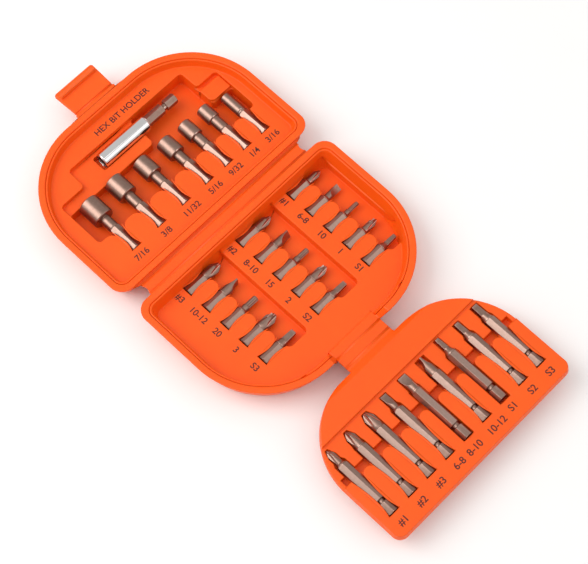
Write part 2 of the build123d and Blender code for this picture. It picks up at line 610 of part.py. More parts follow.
def cross_tip(lie, start, end, size, ribbed):
    """A cross point: a cone with four flutes, and small ribs in the flutes of a ribbed one."""
    root_d, end_d, wing = CROSS[size]
    root_r = root_d / 2
    end_r = end_d / 2
    cone_z = end - (root_r - end_r) * 1.9
    cone = [(HEX_AC / 2 - 0.3, start), (root_r, start + 1.4), (root_r, cone_z), (end_r, end - 0.3),
            (end_r - 0.3, end)]
    flute_r = root_r * 0.62
    run = (end - start) * 0.72
    with BuildPart() as tip:
        add(turned(lie, cone))
        for k in range(4):
            angle = math.radians(45 + 90 * k)
            out = lie.x_dir * math.cos(angle) + lie.y_dir * math.sin(angle)
            near = lie.origin + lie.z_dir * (end + 0.5) + out * (wing * 1.3 + flute_r)
            far = lie.origin + lie.z_dir * (end - run) + out * (root_r + flute_r * 0.95)
            with BuildSketch(Plane(near, x_dir=out, z_dir=(far - near).normalized())):
                Circle(flute_r)
            extrude(amount=(far - near).length, mode=Mode.SUBTRACT)
        if ribbed:
            with BuildSketch(lie.offset(end - run * 0.55)):
                Rectangle(root_d * 0.74, 0.5, rotation=45)
                Rectangle(root_d * 0.74, 0.5, rotation=-45)
            extrude(amount=run * 0.55 - 0.9)
    return tip.part


def slotted_tip(lie, start, end, size, turn):
    """A flat blade with hollow-ground cheeks on a round neck; turn rolls the blade about the axis."""
    width, thick = SLOTTED[size]
    neck_r = width / 2
    blade = Plane(lie.origin, x_dir=lie.x_dir.rotate(Axis((0, 0, 0), lie.z_dir), turn), z_dir=lie.z_dir)
    grind_z = end - (end - start) * 0.66
    with BuildPart() as tip:
        add(turned(lie, [(HEX_AC / 2 - 0.3, start), (neck_r, start + 1.6), (neck_r, end)]))
        for side in (1, -1):
            with BuildSketch(Plane(blade.origin, x_dir=blade.x_dir * side, z_dir=blade.y_dir * -side)):
                with BuildLine():
                    cheek = ThreePointArc((neck_r + 0.1, grind_z), (thick * 0.9, (grind_z + end) / 2),
                                          (thick / 2, end - 0.4))
                    Polyline(cheek @ 1, (thick / 2, end + 1), (neck_r + 0.1, end + 1), cheek @ 0)
                make_face()
            extrude(amount=neck_r * 2, both=True, mode=Mode.SUBTRACT)
    return tip.part


def star_tip(lie, start, end, size):
    """A six-lobed prism on a round neck."""
    lobe_r = STAR[size] / 2
    neck_end = start + (end - start) * 0.34
    with BuildPart() as tip:
        add(turned(lie, [(HEX_AC / 2 - 0.3, start), (lobe_r + 0.35, start + 1.5), (lobe_r + 0.35, neck_end),
                         (lobe_r, neck_end + 0.7), (lobe_r, end - 0.35), (lobe_r - 0.35, end)]))
        with BuildSketch(lie.offset(neck_end + 0.4)):
            with PolarLocations(lobe_r * 1.16, 6):
                Circle(lobe_r * 0.36)
        extrude(amount=end - neck_end, mode=Mode.SUBTRACT)
    return tip.part


def square_tip(lie, start, end, size):
    """A slightly tapered square on a cone."""
    half = SQUARE[size] / 2
    root = start + (end - start) * 0.3
    with BuildPart() as tip:
        add(turned(lie, [(HEX_AC / 2 - 0.3, start), (half * 1.5, root), (half * 1.38, root + 0.8)]))
        with BuildSketch(lie.offset(root)):
            Rectangle(2 * half + 0.5, 2 * half + 0.5)
        with BuildSketch(lie.offset(end)):
            Rectangle(2 * half, 2 * half)
        loft()
        chamfer(tip.faces().sort_by(Axis(lie.origin, lie.z_dir))[-1].edges(), 0.25)
    return tip.part


def driver_bit(lie, length, hex_len, kind, size, roll=0.0, groove=None, blade_turn=0.0):
    """One whole bit: shank from the plane's origin along its z, then the tip."""
    if kind in ("cross", "ribbed_cross"):
        tip = cross_tip(lie, hex_len, length, int(size), kind == "ribbed_cross")
    elif kind == "slotted":
        tip = slotted_tip(lie, hex_len, length, size, blade_turn)
    elif kind == "star":
        tip = star_tip(lie, hex_len, length, int(size))
    else:
        tip = square_tip(lie, hex_len, length, int(size))
    with BuildPart() as bit:
        add(shank(lie, hex_len, roll, groove))
        add(tip)
    return bit.part


INSERT_KINDS = [("cross", ["1", "2", "3"]), ("slotted", ["6_8", "8_10", "10_12"]), ("star", ["10", "15", "20"]),
                ("ribbed_cross", ["1", "2", "3"]), ("square", ["1", "2", "3"])]
BLADE_TURNS = {"6_8": 35, "8_10": 62, "10_12": 88}

for x, (kind, sizes) in zip(INSERT_X, INSERT_KINDS):
    for tail_y, size in zip(INSERT_TAIL_Y, sizes):
        lie = Plane(origin=(x, tail_y, INSERT_Z), x_dir=(0, 0, 1), z_dir=(0, 1, 0))
        turn = BLADE_TURNS.get(size, 0)
        save(driver_bit(lie, INSERT_LEN, INSERT_HEX_LEN, kind, size, blade_turn=turn), f"insert_bit_{kind}_{size}")

for y, bit_name in zip(POWER_Y, POWER_NAMES):
    kind, size = bit_name.split("_", 1)
    high = bit_name in HIGH_BITS
    tail_x = POWER_TAIL_X - HIGH_BITS.get(bit_name, 0.0)
    z = POWER_Z + (HIGH_LIFT if high else 0.0)
    lie = Plane(origin=(tail_x, y, z), x_dir=(0, 0, 1), z_dir=(-1, 0, 0))
    turn = POWER_BLADE_TURNS.get(size, 0)
    power = driver_bit(lie, POWER_LEN, POWER_HEX_LEN, kind, size, 30.0 if high else 0.0, GROOVE_START, turn)
    save(power, f"power_bit_{bit_name}")

# ---------------------------------------------------------------- nut setters
SOCKET_DEPTH_SHARE = 0.62
for size, (y, head_d, socket_af, head_len, whole_len) in SETTERS.items():
    lie = Plane(origin=(SETTER_TAIL_X, y, SETTER_Z), x_dir=(0, 0, 1), z_dir=(-1, 0, 0))
    neck_r = min(SETTER_NECK_D, head_d) / 2
    head_z = whole_len - head_len
    profile = [(HEX_AC / 2 - 0.5, SETTER_SHANK_LEN - 0.6), (neck_r, SETTER_SHANK_LEN), (neck_r, head_z - 0.01),
               (head_d / 2 - 0.5, head_z), (head_d / 2, head_z + 0.5), (head_d / 2, whole_len - 0.4),
               (head_d / 2 - 0.4, whole_len)]
    with BuildPart() as setter:
        add(shank(lie, SETTER_SHANK_LEN - 0.4))
        add(turned(lie, profile))
        with BuildSketch(lie.offset(whole_len)):
            RegularPolygon(socket_af / 2, 6, major_radius=False)
        extrude(amount=-head_len * SOCKET_DEPTH_SHARE, mode=Mode.SUBTRACT)
    save(setter.part, f"nut_setter_{size}")

# ---------------------------------------------------------------- magnetic bit holder
HOLDER_HEX_LEN = HOLDER_LEN - SLEEVE_LEN
HOLDER_BORE_DEPTH = 15.0
HOLDER_CORE_D = 8.4
MAGNET_D = 4.6
MAGNET_LEN = 3.0
RING_BACK = 3.2                    # the retaining ring, back from the sleeve's mouth
RING_W = 1.0
holder_lie = Plane(origin=(HOLDER_X, HOLDER_TOP_Y, HOLDER_Z), x_dir=(0, 0, 1), z_dir=(0, -1, 0))

with BuildPart() as holder_sleeve:
    r = SLEEVE_D / 2
    add(turned(holder_lie, [(r - 0.7, HOLDER_HEX_LEN), (r, HOLDER_HEX_LEN + 0.7), (r, HOLDER_LEN - 0.6),
                            (r - 0.6, HOLDER_LEN)]))
    with BuildSketch(holder_lie.offset(HOLDER_HEX_LEN)):
        Circle(HOLDER_CORE_D / 2)
    extrude(amount=SLEEVE_LEN, mode=Mode.SUBTRACT)
save(holder_sleeve.part, "holder_sleeve")

RING_Z = HOLDER_LEN - RING_BACK - RING_W
with BuildPart() as holder_shank:
    add(shank(holder_lie, HOLDER_HEX_LEN + 1, 0.0, GROOVE_START))
    with BuildSketch(holder_lie.offset(HOLDER_HEX_LEN)):
        Circle(HOLDER_CORE_D / 2)
    extrude(amount=SLEEVE_LEN - 0.5)
    with BuildSketch(holder_lie.offset(HOLDER_LEN - 0.5)):
        RegularPolygon(HEX_AF / 2 + 0.06, 6, major_radius=False)
    extrude(amount=-HOLDER_BORE_DEPTH, mode=Mode.SUBTRACT)
    with BuildSketch(holder_lie.offset(HOLDER_LEN - 0.5 - HOLDER_BORE_DEPTH)):
        Circle(MAGNET_D / 2)
    extrude(amount=-MAGNET_LEN, mode=Mode.SUBTRACT)
    with BuildSketch(holder_lie.offset(RING_Z)):
        Circle(HOLDER_CORE_D / 2)
        Circle(HEX_AC / 2, mode=Mode.SUBTRACT)
    extrude(amount=RING_W, mode=Mode.SUBTRACT)
save(holder_shank.part, "holder_shank")

with BuildPart() as holder_magnet:
    with BuildSketch(holder_lie.offset(HOLDER_LEN - 0.5 - HOLDER_BORE_DEPTH)):
        Circle(MAGNET_D / 2)
    extrude(amount=-MAGNET_LEN)
    chamfer(holder_magnet.edges().filter_by(GeomType.CIRCLE), 0.2)
save(holder_magnet.part, "holder_magnet")

with BuildPart() as holder_retaining_ring:
    with BuildSketch(holder_lie.offset(RING_Z)):
        Circle(HOLDER_CORE_D / 2)
        Circle(HEX_AC / 2, mode=Mode.SUBTRACT)
        with Locations((HOLDER_CORE_D / 2, 0)):
            Rectangle(2.0, 1.2, mode=Mode.SUBTRACT)
    extrude(amount=RING_W)
save(holder_retaining_ring.part, "holder_retaining_ring")
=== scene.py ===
"""Looks of a folding bit case that lies open with 32 driver tools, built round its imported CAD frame.

Axes: +X runs from the lid over the base to the flap, +Y along the hinges, +Z up, in metres.
"""

import logging
import math
from dataclasses import dataclass, field
from enum import Enum

import bmesh
import bpy
from mathutils import Matrix, Vector


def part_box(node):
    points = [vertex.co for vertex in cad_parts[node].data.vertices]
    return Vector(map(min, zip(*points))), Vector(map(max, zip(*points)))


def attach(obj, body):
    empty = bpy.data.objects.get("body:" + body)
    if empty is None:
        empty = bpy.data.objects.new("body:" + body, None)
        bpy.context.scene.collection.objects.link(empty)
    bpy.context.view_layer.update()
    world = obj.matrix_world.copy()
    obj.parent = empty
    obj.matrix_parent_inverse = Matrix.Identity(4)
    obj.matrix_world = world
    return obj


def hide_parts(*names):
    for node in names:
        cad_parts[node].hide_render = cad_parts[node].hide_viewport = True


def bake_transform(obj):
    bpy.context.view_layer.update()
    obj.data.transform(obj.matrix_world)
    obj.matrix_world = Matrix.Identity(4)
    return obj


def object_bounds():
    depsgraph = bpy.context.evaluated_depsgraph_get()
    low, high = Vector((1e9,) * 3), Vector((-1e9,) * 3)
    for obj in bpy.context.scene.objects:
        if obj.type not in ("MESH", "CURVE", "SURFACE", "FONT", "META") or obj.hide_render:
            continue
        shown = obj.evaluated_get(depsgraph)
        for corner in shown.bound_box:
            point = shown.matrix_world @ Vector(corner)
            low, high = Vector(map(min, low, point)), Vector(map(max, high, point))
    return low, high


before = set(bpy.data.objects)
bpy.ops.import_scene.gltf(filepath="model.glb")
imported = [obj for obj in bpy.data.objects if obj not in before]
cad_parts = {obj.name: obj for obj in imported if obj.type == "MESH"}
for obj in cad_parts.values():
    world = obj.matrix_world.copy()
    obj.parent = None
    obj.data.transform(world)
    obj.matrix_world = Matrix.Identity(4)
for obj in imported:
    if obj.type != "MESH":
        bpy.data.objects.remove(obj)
cad_low, cad_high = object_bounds()

log = logging.getLogger("bit_case")

MM = 0.001
UP = Vector((0, 0, 1))
FLANK_SLOPE = math.tan(math.radians(60))   # half width gained per depth below the hexagon's top corner


class Slot(Enum):
    """The record's material slots."""

    POLYPROPYLENE = "polypropylene"
    TOOL_STEEL = "tool_steel"
    CHROME = "chrome"
    MAGNET = "magnet"
    SPRING_STEEL = "spring_steel"


# ---------------------------------------------------------------- finishes
def linear(hex_colour: str) -> tuple[float, float, float, float]:
    """Turn an sRGB hex colour into the linear colour that a shader takes.

    Args:
        hex_colour: A colour such as "#FF6A1C".

    Returns:
        Red, green, blue and an alpha of one.
    """
    channels = [int(hex_colour[i:i + 2], 16) / 255 for i in (1, 3, 5)]
    bright = [c / 12.92 if c <= 0.04045 else ((c + 0.055) / 1.055) ** 2.4 for c in channels]
    return (bright[0], bright[1], bright[2], 1.0)


def per_metre(size_mm: float) -> float:
    """Scale of a noise whose features are about size_mm wide."""
    return 1 / (size_mm * MM)


def add_node(tree: bpy.types.NodeTree, kind: str, settings: dict | None = None, values: dict | None = None,
             links: dict | None = None) -> bpy.types.Node:
    """Add one node to a material's tree.

    Args:
        tree: The tree that the node joins.
        kind: The node's Blender type name.
        settings: Values for the node's own properties.
        values: Values for its input sockets, by name or number.
        links: Output sockets to join to its inputs, by the input's name or number.

    Returns:
        The new node.
    """
    node = tree.nodes.new(kind)
    for name, value in (settings or {}).items():
        setattr(node, name, value)
    for name, value in (values or {}).items():
        node.inputs[name].default_value = value
    for name, source in (links or {}).items():
        tree.links.new(source, node.inputs[name])
    return node


@dataclass(frozen=True)
class Finish:
    """What one surface is made of; a subclass adds the pattern that its making leaves."""

    name: str
    colour: str
    second_colour: str
    patch_mm: float
    roughness: tuple[float, float]
    grain_mm: float
    grain_depth_mm: float
    metallic: float = 0.0
    ior: float | None = None

    def make(self) -> bpy.types.Material:
        """Build the material: two colours in soft patches, and a fine grain in gloss and height.

        Returns:
            The material, ready for a piece.
        """
        material = bpy.data.materials.new(self.name)
        material.use_nodes = True
        tree = material.node_tree
        shader = tree.nodes["Principled BSDF"]
        shader.inputs["Metallic"].default_value = self.metallic
        if self.ior is not None:
            shader.inputs["IOR"].default_value = self.ior
        place = add_node(tree, "ShaderNodeTexCoord").outputs["Object"]
        patches = add_node(tree, "ShaderNodeTexNoise", links={"Vector": place},
                           values={"Scale": per_metre(self.patch_mm), "Detail": 3.0})
        tint = add_node(tree, "ShaderNodeMix", {"data_type": "RGBA"},
                        {6: linear(self.colour), 7: linear(self.second_colour)}, {0: patches.outputs[0]})
        tree.links.new(tint.outputs[2], shader.inputs["Base Color"])
        grain = add_node(tree, "ShaderNodeTexNoise", values={"Scale": per_metre(self.grain_mm), "Detail": 2.0},
                         links={"Vector": place})
        gloss = add_node(tree, "ShaderNodeMapRange",
                         values={"To Min": self.roughness[0], "To Max": self.roughness[1]},
                         links={"Value": grain.outputs[0]})
        tree.links.new(gloss.outputs[0], shader.inputs["Roughness"])
        relief = add_node(tree, "ShaderNodeBump", links={"Height": grain.outputs[0]},
                          values={"Distance": self.grain_depth_mm * MM, "Strength": 1.0})
        tree.links.new(relief.outputs[0], shader.inputs["Normal"])
        self.detail(tree, shader, place, relief)
        return material

    def detail(self, tree: bpy.types.NodeTree, shader: bpy.types.Node, place: bpy.types.NodeSocket,
               relief: bpy.types.Node) -> None:
        """Add what only this finish has. The plain finish adds nothing."""


@dataclass(frozen=True)
class MouldedPolypropylene(Finish):
    """Satin polypropylene: light enters a little, and thick places sink slightly as they cool."""

    sink_mm: float = 24.0
    sink_depth_mm: float = 0.5
    sink_strength: float = 0.6
    glow_mm: float = 0.9
    glow: float = 0.18
    glow_reach: tuple[float, float, float] = (1.0, 0.3, 0.08)   # red light travels farthest in the orange
    sheen: float = 0.35

    def detail(self, tree: bpy.types.NodeTree, shader: bpy.types.Node, place: bpy.types.NodeSocket,
               relief: bpy.types.Node) -> None:
        """Add the sink marks' long waves and the light that enters the skin."""
        shader.inputs["Specular IOR Level"].default_value = self.sheen
        shader.inputs["Subsurface Weight"].default_value = self.glow
        shader.inputs["Subsurface Scale"].default_value = self.glow_mm * MM
        shader.inputs["Subsurface Radius"].default_value = self.glow_reach
        waves = add_node(tree, "ShaderNodeTexNoise", values={"Scale": per_metre(self.sink_mm), "Detail": 1.0},
                         links={"Vector": place})
        sinks = add_node(tree, "ShaderNodeBump", links={"Height": waves.outputs[0]},
                         values={"Distance": self.sink_depth_mm * MM, "Strength": self.sink_strength})
        tree.links.new(sinks.outputs[0], relief.inputs["Normal"])


@dataclass(frozen=True)
class TumbledSteel(Finish):
    """Hardened tool steel out of the tumbling barrel: a dull brown-grey skin, rubbed bright on its edges."""

    worn_colour: str = "#E9CCBE"
    worn_from: float = 0.52         # pointiness where the wear begins
    worn_to: float = 0.6            # and where it is full

    def detail(self, tree: bpy.types.NodeTree, shader: bpy.types.Node, place: bpy.types.NodeSocket,
               relief: bpy.types.Node) -> None:
        """Brighten the convex edges, where the tools rub on each other."""
        edges = add_node(tree, "ShaderNodeMapRange",
                         values={"From Min": self.worn_from, "From Max": self.worn_to},
                         links={"Value": add_node(tree, "ShaderNodeNewGeometry").outputs["Pointiness"]})
        skin = shader.inputs["Base Color"].links[0].from_socket
        worn = add_node(tree, "ShaderNodeMix", {"data_type": "RGBA"}, {7: linear(self.worn_colour)},
                        {0: edges.outputs[0], 6: skin})
        tree.links.new(worn.outputs[2], shader.inputs["Base Color"])


# Orange polypropylene copolymer from a spark-eroded mould. The real grain is near 0.05 mm and is drawn
# coarser, so that its soft satin sheen can be seen.
POLYPROPYLENE = MouldedPolypropylene("moulded_polypropylene", "#FB5F08", "#F65706", 30.0, (0.40, 0.52),
                                     0.45, 0.012, ior=1.49)
# Chrome-vanadium steel, hardened, tumbled and oiled.
TOOL_STEEL = TumbledSteel("tumbled_tool_steel", "#A98A7C", "#8A6E62", 1.6, (0.30, 0.42), 0.25, 0.006,
                          metallic=1.0)
# Bright chrome over polished steel, with faint finger marks in its gloss.
CHROME = Finish("chrome_plate", "#F2F0EE", "#E6E4E2", 9.0, (0.05, 0.11), 3.0, 0.002, metallic=1.0)
# Sintered ferrite, ground flat: dark, dry and slightly speckled.
FERRITE = Finish("ground_ferrite", "#3A3A3C", "#2C2C2E", 0.5, (0.5, 0.65), 0.2, 0.01, ior=2.4)
# Drawn spring wire, bright from the die.
SPRING_WIRE = Finish("drawn_spring_wire", "#C9C3BC", "#B5AFA8", 0.8, (0.2, 0.3), 0.15, 0.003, metallic=1.0)
# Pad-printed ink, dark oxide red where the orange shows through it.
INK = Finish("pad_print_ink", "#4A0E04", "#5A1406", 0.7, (0.45, 0.6), 0.2, 0.004, ior=1.5)
# Matt white paper under the case.
PAPER = Finish("matt_paper", "#FBFAF8", "#F8F7F5", 60.0, (0.85, 0.95), 0.6, 0.01, ior=1.45)


@dataclass
class Workshop:
    """Keeps each finish's material and dresses, mounts and reports the pieces."""

    made: dict[str, bpy.types.Material] = field(default_factory=dict)
    pieces: int = 0

    def material(self, finish: Finish) -> bpy.types.Material:
        """The finish's one material, made at its first use."""
        if finish.name not in self.made:
            self.made[finish.name] = finish.make()
        return self.made[finish.name]

    def mount(self, piece: bpy.types.Object, body: str, finish: Finish, slot: Slot | None = None,
              stands_for: tuple[str, ...] = ()) -> bpy.types.Object:
        """Give a piece its finish and let it ride on its body.

        Args:
            piece: The piece, in place.
            body: The CAD body that it moves with.
            finish: What its surface is.
            slot: The record's slot for its finish; it is not used.
            stands_for: CAD nodes that it replaces.

        Returns:
            The piece.
        """
        piece.data.materials.clear()
        piece.data.materials.append(self.material(finish))
        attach(piece, body)
        self.enter(piece, slot, stands_for)
        return piece

    def enter(self, piece: bpy.types.Object, slot: Slot | None, stands_for: tuple[str, ...]) -> None:
        """Hide the nodes that a piece stands for, and report it."""
        if stands_for:
            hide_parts(*stands_for)
        self.pieces += 1
        log.info("%s: %d vertices", piece.name, len(piece.data.vertices))


# ---------------------------------------------------------------- mesh work
def link_mesh(name: str, shape: bmesh.types.BMesh) -> bpy.types.Object:
    """Turn a bmesh into a smooth-shaded object of the scene and free it.

    Args:
        name: The new piece's name.
        shape: The shape, in the frame's metres.

    Returns:
        The object.
    """
    mesh = bpy.data.meshes.new(name)
    shape.to_mesh(mesh)
    shape.free()
    for left_over in ("custom_normal", "sharp_edge", "sharp_face"):
        if left_over in mesh.attributes:
            mesh.attributes.remove(mesh.attributes[left_over])
    mesh.shade_smooth()
    piece = bpy.data.objects.new(name, mesh)
    bpy.context.scene.collection.objects.link(piece)
    return piece


def skin_rings(shape: bmesh.types.BMesh, outlines: list[list[Vector]]) -> None:
    """Join a row of closed outlines by a skin and cap both ends.

    Args:
        shape: The shape that the skin joins.
        outlines: The outlines in order, each with the same number of points.
    """
    rings = [[shape.verts.new(point) for point in outline] for outline in outlines]
    for a, b in zip(rings, rings[1:]):
        for k, corner in enumerate(a):
            after = (k + 1) % len(a)
            shape.faces.new((corner, a[after], b[after], b[k]))
    shape.faces.new(reversed(rings[0]))
    shape.faces.new(rings[-1])
    bmesh.ops.recalc_face_normals(shape, faces=shape.faces)


@dataclass
class RoundedCopy:
    """A CAD node's shape with its sharp edges rounded, as a mould or a tumbling barrel leaves them."""

    node: str
    radius: float
    segments: int = 3
    crease_degrees: float = 28.0
    weld: float = 0.002 * MM

    def build(self, name: str) -> bpy.types.Object:
        """Copy the node's mesh, weld its facets and round its edges.

        Args:
            name: The new piece's name.

        Returns:
            The piece, with its rounding as modifiers.
        """
        shape = bmesh.new()
        shape.from_mesh(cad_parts[self.node].data)
        bmesh.ops.remove_doubles(shape, verts=shape.verts, dist=self.weld)
        piece = link_mesh(name, shape)
        rounding = piece.modifiers.new("rounding", "BEVEL")
        rounding.width = self.radius
        rounding.segments = self.segments
        rounding.limit_method = "ANGLE"
        rounding.angle_limit = math.radians(self.crease_degrees)
        rounding.use_clamp_overlap = False
        rounding.loop_slide = False
        even = piece.modifiers.new("even_normals", "WEIGHTED_NORMAL")
        even.keep_sharp = False
        return piece


@dataclass
class SnapLip:
    """The soft lips that close over a tool's shank on both sides of its slot, and pinch it at the waist."""

    tail: Vector                # middle of the slot's tail end, on the tray's face
    along: Vector               # from the tail to the mouth
    length: float
    end_half: float
    wall_half: float            # the slot wall at its waist
    reach_half: float           # the lips' edges at the waist
    tail_flare: float
    mouth_flare: float
    nose_flat: float = 0.34 * MM    # where the rounded nose leaves the flat face, back from the lip's edge
    nose_round: float = 0.12 * MM
    nose_drop: float = 0.04 * MM
    edge_drop: float = 0.16 * MM    # the lip's edge, below the tray's face
    underside_drop: float = 0.28 * MM
    root: float = 0.5 * MM          # how far the lip is rooted in the wall
    flare_power: float = 1.6
    stations: int = 25

    def opening(self, travel: float) -> float:
        """Half the gap between the two lips, at a distance from the tail."""
        to_tail = max(0.0, 1 - travel / self.tail_flare)
        to_mouth = max(0.0, 1 - (self.length - travel) / self.mouth_flare)
        return self.reach_half + (self.end_half - self.reach_half) * max(to_tail, to_mouth) ** self.flare_power

    def section(self, travel: float, side: int) -> list[Vector]:
        """One lip's outline across the slot: flat face, rounded nose, and an underside along the hexagon."""
        nose = self.opening(travel)
        wall = max(self.wall_half, nose) + self.root
        flank_drop = (wall - nose - self.edge_drop) / FLANK_SLOPE
        profile = [(wall, 0.0), (nose + self.nose_flat, 0.0), (nose + self.nose_round, -self.nose_drop),
                   (nose, -self.edge_drop), (nose + self.edge_drop, -self.underside_drop),
                   (wall, -self.underside_drop - flank_drop)]
        across = self.along.cross(UP) * side
        return [self.tail + self.along * travel + across * x + UP * z for x, z in profile]

    def add_to(self, shape: bmesh.types.BMesh) -> None:
        """Add both lips to a shape.

        Args:
            shape: The shape that the lips join.
        """
        travels = [self.length * i / (self.stations - 1) for i in range(self.stations)]
        for side in (1, -1):
            skin_rings(shape, [self.section(travel, side) for travel in travels])


@dataclass
class EjectorMark:
    """The faint ring that a mould's ejector pin leaves, seen only between two ways."""

    centre: Vector
    radius: float = 5.5 * MM
    half_width: float = 0.13 * MM
    height: float = 0.06 * MM
    half_sweep: float = 40.0
    stations: int = 13

    def add_to(self, shape: bmesh.types.BMesh) -> None:
        """Add the ring's two arcs, toward -X and +X, to a shape.

        Args:
            shape: The shape that the arcs join.
        """
        for middle_angle in (0.0, 180.0):
            outlines = []
            for i in range(self.stations):
                sweep = self.half_sweep * (2 * i / (self.stations - 1) - 1)
                angle = math.radians(middle_angle + sweep)
                out = Vector((math.cos(angle), math.sin(angle), 0))
                outlines.append([self.centre + out * (self.radius + r) + UP * z for r, z in (
                    (-self.half_width, -self.height), (0.0, self.height), (self.half_width, -self.height))])
            skin_rings(shape, outlines)


@dataclass
class Label:
    """One printed size, lying on a face with its middle at a place."""

    words: str
    place: Vector
    cap_height: float
    turn_degrees: float = 0.0
    weight: float = 0.09 * MM
    skin: float = 0.02 * MM
    cap_share: float = 0.69         # a capital's height in the plain sans face, of its size

    def add_to(self, shape: bmesh.types.BMesh) -> None:
        """Set the words in a plain sans face and add them to a shape.

        Args:
            shape: The shape that the letters join.
        """
        curve = bpy.data.curves.new(self.words, "FONT")
        curve.body = self.words
        curve.align_x = "CENTER"
        curve.align_y = "CENTER"
        curve.size = self.cap_height / self.cap_share
        curve.offset = self.weight
        curve.extrude = self.skin
        holder = bpy.data.objects.new(self.words, curve)
        bpy.context.scene.collection.objects.link(holder)
        graph = bpy.context.evaluated_depsgraph_get()
        letters = bpy.data.meshes.new_from_object(holder.evaluated_get(graph))
        turn = Matrix.Rotation(math.radians(self.turn_degrees), 4, "Z")
        letters.transform(Matrix.Translation(self.place) @ turn)
        shape.from_mesh(letters)
        bpy.data.meshes.remove(letters)
        bpy.data.objects.remove(holder)
        bpy.data.curves.remove(curve)


def print_labels(workshop: Workshop, name: str, body: str, labels: list[Label]) -> None:
    """Print a group of labels as one thin skin of ink.

    Args:
        workshop: Dresses and mounts the print.
        name: The piece's name.
        body: The body that carries the face.
        labels: The words and their places.
    """
    shape = bmesh.new()
    for label in labels:
        label.add_to(shape)
    workshop.mount(link_mesh(name, shape), body, INK)


# ---------------------------------------------------------------- the case
def middle(node: str) -> Vector:
    """The middle of a CAD node's box."""
    low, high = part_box(node)
    return (low + high) / 2


@dataclass
class Moulding:
    """One panel of the case: its shell and tray with rounded edges."""

    workshop: Workshop
    body: str
    rim_radius: float = 0.7 * MM
    tray_radius: float = 0.5 * MM

    def round_off(self, node: str, radius: float) -> None:
        """Replace one moulded node by its rounded copy."""
        piece = RoundedCopy(node, radius).build(f"{node}_moulding")
        self.workshop.mount(piece, self.body, POLYPROPYLENE, Slot.POLYPROPYLENE, (node,))

    def lips(self, name: str, grips: list[SnapLip]) -> None:
        """Add the snap lips of all of the panel's slots as one piece."""
        shape = bmesh.new()
        for grip in grips:
            grip.add_to(shape)
        self.workshop.mount(link_mesh(name, shape), self.body, POLYPROPYLENE, Slot.POLYPROPYLENE)


@dataclass
class BasePanel(Moulding):
    """The middle panel, with three rows of five insert bits."""

    body: str = "base"
    face_z: float = 11.0 * MM
    slot_length: float = 16.2 * MM
    tail_gap: float = 0.5 * MM
    label_gaps: tuple[float, ...] = (5.1 * MM, 6.0 * MM, 6.3 * MM)
    cap_height: float = 3.8 * MM
    kinds: tuple[str, ...] = ("cross", "slotted", "star", "ribbed_cross", "square")
    rows: tuple[dict[str, tuple[str, str]], ...] = (
        {"cross": ("1", "#1"), "slotted": ("6_8", "6-8"), "star": ("10", "10"), "ribbed_cross": ("1", "1"),
         "square": ("1", "S1")},
        {"cross": ("2", "#2"), "slotted": ("8_10", "8-10"), "star": ("15", "15"), "ribbed_cross": ("2", "2"),
         "square": ("2", "S2")},
        {"cross": ("3", "#3"), "slotted": ("10_12", "10-12"), "star": ("20", "20"), "ribbed_cross": ("3", "3"),
         "square": ("3", "S3")})

    def build(self) -> None:
        """Build the shell, the tray, its lips and its labels."""
        self.round_off("base_shell", self.rim_radius)
        self.round_off("base_tray", self.tray_radius)
        grips = []
        labels = []
        for row, gap in zip(self.rows, self.label_gaps):
            for kind, (size, words) in row.items():
                low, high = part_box(f"insert_bit_{kind}_{size}")
                x = (low.x + high.x) / 2
                grips.append(SnapLip(Vector((x, low.y - self.tail_gap, self.face_z)), Vector((0, 1, 0)),
                                     self.slot_length, end_half=3.7 * MM, wall_half=3.35 * MM,
                                     reach_half=2.25 * MM, tail_flare=7.5 * MM, mouth_flare=8.0 * MM))
                labels.append(Label(words, Vector((x, low.y - gap, self.face_z)), self.cap_height))
        self.lips("base_snap_lips", grips)
        print_labels(self.workshop, "base_size_labels", self.body, labels)


@dataclass
class LidPanel(Moulding):
    """The lid, with seven nut setters and the long bit holder."""

    body: str = "lid"
    face_z: float = 14.5 * MM
    slot_length: float = 17.0 * MM
    tail_gap: float = 0.5 * MM
    label_gap: float = 6.2 * MM
    cap_height: float = 3.8 * MM
    name_gap: float = 14.3 * MM
    name_y: float = 7.0 * MM
    # size: the words, and how far they stray toward -Y
    sizes: dict[str, tuple[str, float]] = field(default_factory=lambda: {
        "3_16": ("3/16", 0.0), "1_4": ("1/4", 0.0), "9_32": ("9/32", 0.0), "5_16": ("5/16", 0.7 * MM),
        "11_32": ("11/32", 1.2 * MM), "3_8": ("3/8", 1.7 * MM), "7_16": ("7/16", 1.3 * MM)})

    def build(self) -> None:
        """Build the shell, the tray, its lips and its labels."""
        self.round_off("lid_shell", self.rim_radius)
        self.round_off("lid_tray", self.tray_radius)
        grips = []
        labels = []
        for size, (words, stray) in self.sizes.items():
            low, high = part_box(f"nut_setter_{size}")
            y = (low.y + high.y) / 2
            grips.append(SnapLip(Vector((high.x + self.tail_gap, y, self.face_z)), Vector((-1, 0, 0)),
                                 self.slot_length, end_half=3.7 * MM, wall_half=3.35 * MM,
                                 reach_half=2.2 * MM, tail_flare=6.5 * MM, mouth_flare=10.0 * MM))
            labels.append(Label(words, Vector((high.x + self.label_gap, y - stray, self.face_z)),
                                self.cap_height, 90))
        self.lips("lid_snap_lips", grips)
        holder = middle("holder_sleeve")
        labels.append(Label("HEX BIT HOLDER", Vector((holder.x - self.name_gap, self.name_y, self.face_z)),
                            self.cap_height, 90))
        print_labels(self.workshop, "lid_size_labels", self.body, labels)


